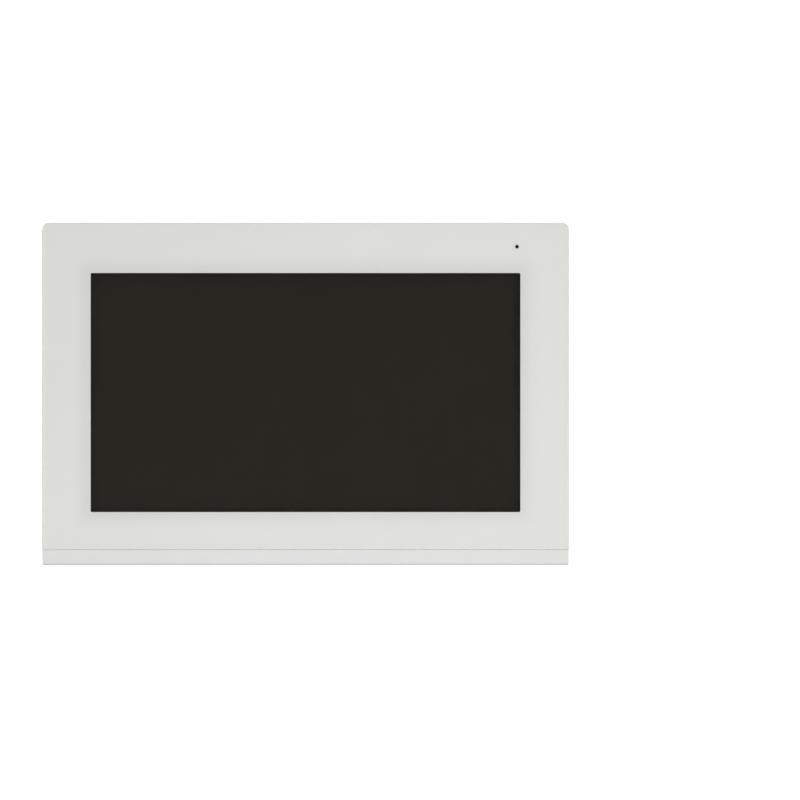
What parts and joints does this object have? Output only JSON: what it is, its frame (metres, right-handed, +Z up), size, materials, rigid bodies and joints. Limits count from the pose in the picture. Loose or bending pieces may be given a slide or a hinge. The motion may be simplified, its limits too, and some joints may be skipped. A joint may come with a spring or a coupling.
{
  "type": "video intercom monitor",
  "caption": "Slim wall-mounted video intercom monitor: white glass front with a touch display, hung on a steel wall bracket that it lifts off.",
  "frame": {"origin": "on the wall, at the centre of the steel bracket's back face, which is also the middle of the two wall box screws; the monitor's outline is centred on it", "axes": "+X to the right as the display is read, +Y into the wall, +Z up; the display looks along -Y"},
  "size_m": [0.1892, 0.022, 0.123],
  "materials": {
    "wall_bracket": "zinc plated",
    "front_glass": "clear, polished",
    "printed_border": "warm white ink under glass",
    "adhesive_tape": "white foam tape",
    "touch_sensor": "clear",
    "touch_flex": "amber ribbon",
    "foam_gasket": "black foam",
    "lcd_bezel": "stamped sheet",
    "lcd_cell": "dark, unlit",
    "diffuser_film": "white film",
    "light_guide": "clear acrylic",
    "led_strip": "diodes on a strip",
    "backlight_tray": "stamped sheet",
    "lcd_flex": "amber ribbon",
    "front_frame": "fine white texture",
    "mid_plate": "zinc plated",
    "plate_screws": "plated",
    "main_board": "green solder mask",
    "board_screws": "plated",
    "processor": "black epoxy",
    "heatsink": "black anodised",
    "memory_chips": "black epoxy",
    "power_inductors": "moulded ferrite",
    "capacitors": "bare can",
    "ribbon_connectors": "ivory nylon",
    "wire_headers": "ivory nylon",
    "header_pins": "tin plated",
    "lead_plugs": "ivory nylon",
    "card_socket": "stamped shell",
    "slide_switch": "stamped shell",
    "switch_knob": "black",
    "reset_switch": "black",
    "reset_plunger": "ivory",
    "microphone": "bare can",
    "mic_felt": "black felt",
    "mic_boot": "black",
    "mic_leads": "insulated wire",
    "speaker_basket": "black stamped steel",
    "speaker_yoke": "zinc plated",
    "speaker_magnet": "nickel plated",
    "speaker_pole_plate": "zinc plated",
    "voice_coil": "enamelled copper",
    "speaker_cone": "black film",
    "speaker_surround": "black",
    "speaker_gasket": "black foam",
    "speaker_screws": "plated",
    "speaker_leads": "insulated wire",
    "rear_cover": "fine white texture",
    "housing_screws": "plated"
  },
  "bodies": {
    "bracket": {"wall_bracket": "wall_bracket"},
    "monitor": {"front_glass": "front_glass", "printed_border": "printed_border", "adhesive_tape": "adhesive_tape", "touch_sensor": "touch_sensor", "touch_flex": "touch_flex", "foam_gasket": "foam_gasket", "lcd_bezel": "lcd_bezel", "lcd_cell": "lcd_cell", "diffuser_film": "diffuser_film", "light_guide": "light_guide", "led_strip": "led_strip", "backlight_tray": "backlight_tray", "lcd_flex": "lcd_flex", "front_frame": "front_frame", "mid_plate": "mid_plate", "plate_screws": "plate_screws", "main_board": "main_board", "board_screws": "board_screws", "processor": "processor", "heatsink": "heatsink", "memory_chips": "memory_chips", "power_inductors": "power_inductors", "capacitors": "capacitors", "ribbon_connectors": "ribbon_connectors", "wire_headers": "wire_headers", "header_pins": "header_pins", "lead_plugs": "lead_plugs", "card_socket": "card_socket", "slide_switch": "slide_switch", "reset_switch": "reset_switch", "microphone": "microphone", "mic_felt": "mic_felt", "mic_boot": "mic_boot", "mic_leads": "mic_leads", "speaker_basket": "speaker_basket", "speaker_yoke": "speaker_yoke", "speaker_magnet": "speaker_magnet", "speaker_pole_plate": "speaker_pole_plate", "speaker_surround": "speaker_surround", "speaker_gasket": "speaker_gasket", "speaker_screws": "speaker_screws", "speaker_leads": "speaker_leads", "rear_cover": "rear_cover", "housing_screws": "housing_screws"},
    "power_knob": {"switch_knob": "switch_knob"},
    "reset_button": {"reset_plunger": "reset_plunger"},
    "speaker_moving": {"speaker_cone": "speaker_cone", "voice_coil": "voice_coil"}
  },
  "joints": [
    {"name": "monitor_lift", "type": "slide", "parent": "bracket", "child": "monitor", "axis": [0, 0, 1], "range_m": [0, 0.006]},
    {"name": "power_switch_slide", "type": "slide", "parent": "monitor", "child": "power_knob", "axis": [0, 0, 1], "range_m": [0, 0.002]},
    {"name": "reset_press", "type": "slide", "parent": "monitor", "child": "reset_button", "axis": [-1, 0, 0], "range_m": [0, 0.0003], "stiffness_N_per_m": 400, "springref_m": -0.002},
    {"name": "speaker_excursion", "type": "slide", "parent": "monitor", "child": "speaker_moving", "axis": [0, 1, 0], "range_m": [-0.0006, 0.0006], "stiffness_N_per_m": 1500, "deforming": ["speaker_surround"]}
  ]
}
